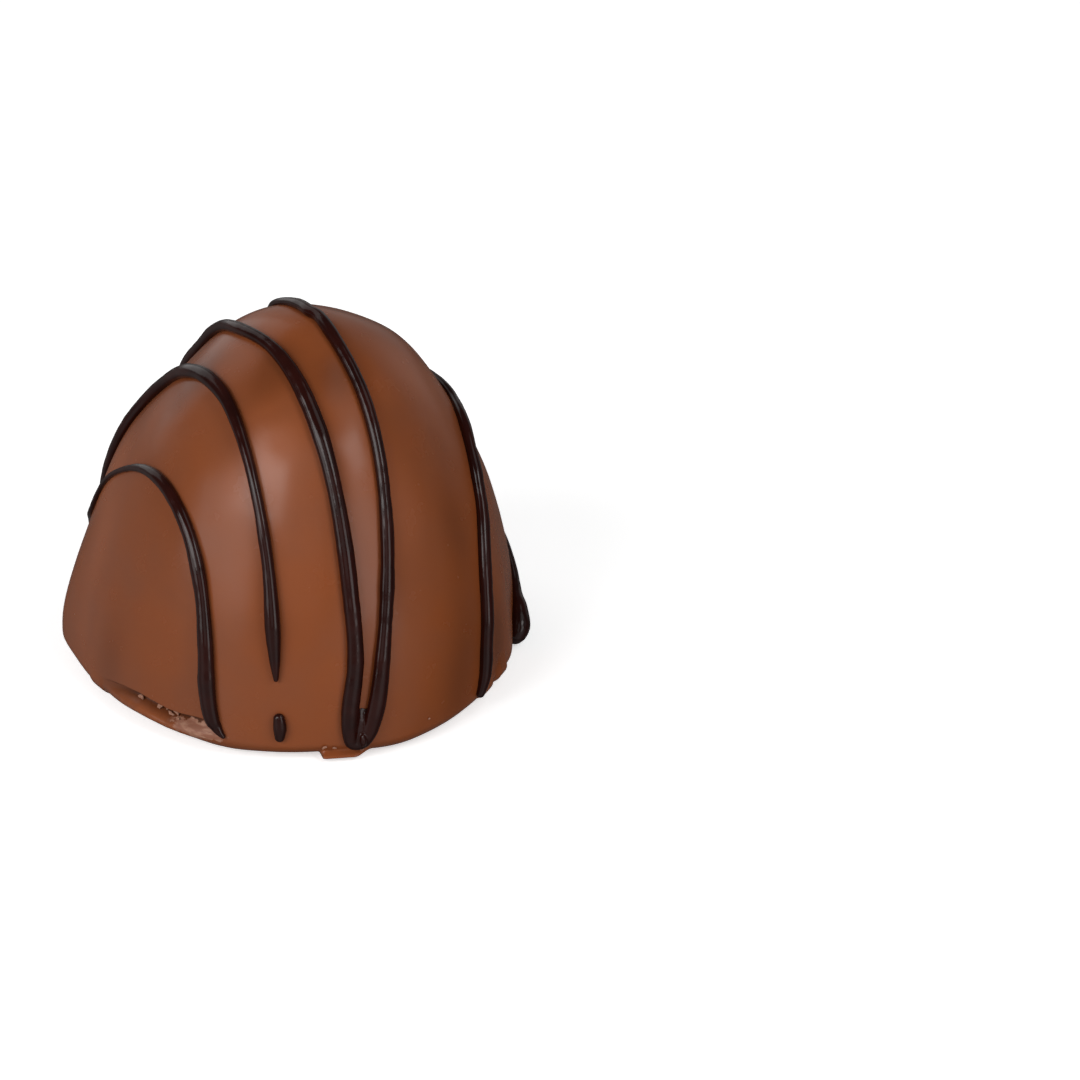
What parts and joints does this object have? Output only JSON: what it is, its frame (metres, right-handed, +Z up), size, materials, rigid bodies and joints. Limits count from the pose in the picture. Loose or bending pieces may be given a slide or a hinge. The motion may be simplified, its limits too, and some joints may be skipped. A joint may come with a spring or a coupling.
{
  "type": "chocolate truffle",
  "caption": "Dome-shaped milk chocolate truffle on a flat foot, with thin raised strands of dark chocolate drizzled over it in a zigzag.",
  "frame": {"origin": "middle of the whole truffle's box, on its flat underside", "axes": "+Z up; -Y towards the side where the front loop of drizzle reaches the foot; +X to the right seen from there"},
  "size_m": [0.0388, 0.0392, 0.032],
  "materials": {
    "milk_chocolate": "satin tempered milk chocolate, smooth from dipping, with soft broad highlights",
    "dark_chocolate": "glossy dark chocolate thread with a thin highlight along its back"
  },
  "bodies": {
    "root": {"truffle_body": "milk_chocolate", "drizzle_far_left": "dark_chocolate", "drizzle_left": "dark_chocolate", "drizzle_left_drop": "dark_chocolate", "drizzle_front_loop": "dark_chocolate", "drizzle_right": "dark_chocolate", "drizzle_right_loop": "dark_chocolate"}
  },
  "joints": []
}
